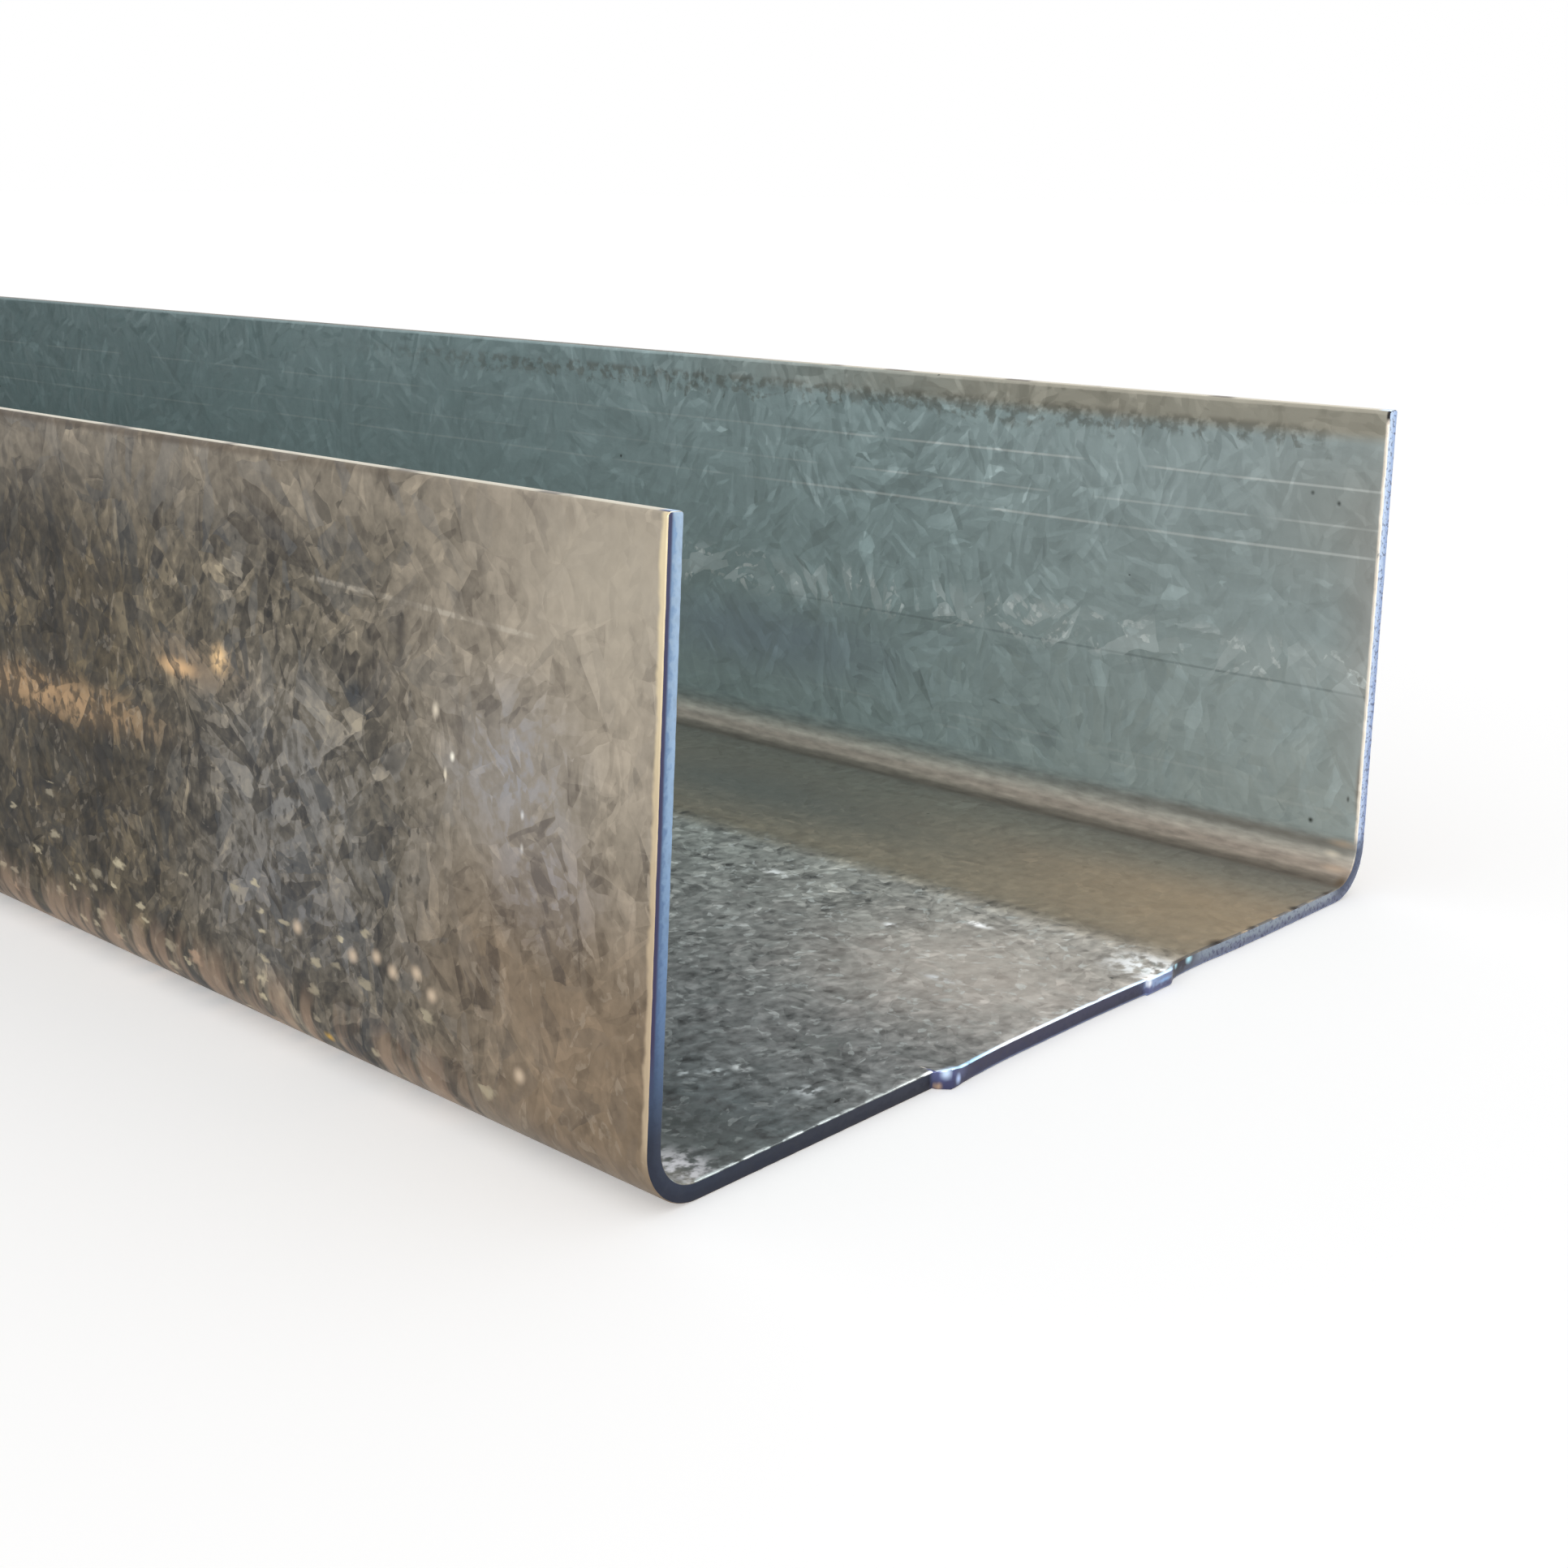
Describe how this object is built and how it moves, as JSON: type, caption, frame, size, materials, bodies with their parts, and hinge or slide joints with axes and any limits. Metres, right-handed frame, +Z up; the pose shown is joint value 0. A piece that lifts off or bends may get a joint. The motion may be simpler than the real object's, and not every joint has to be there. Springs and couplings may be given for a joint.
{
  "type": "unlipped c-section purlin",
  "caption": "Plain roll-formed galvanised steel C-section purlin with toed-in flanges and no lips, cut to stock length, for carrying roof or wall sheeting.",
  "frame": {"origin": "centre of the web's underside, the face the purlin lies on", "axes": "+X along the length towards the rough cut end, +Y across the web, +Z up along the flanges"},
  "size_m": [2.4, 0.102, 0.05],
  "materials": {
    "galvanised_strip": "hot-dip galvanised with visible spangle, dull and stained from storage"
  },
  "bodies": {
    "root": {"purlin": "galvanised_strip"}
  },
  "joints": []
}
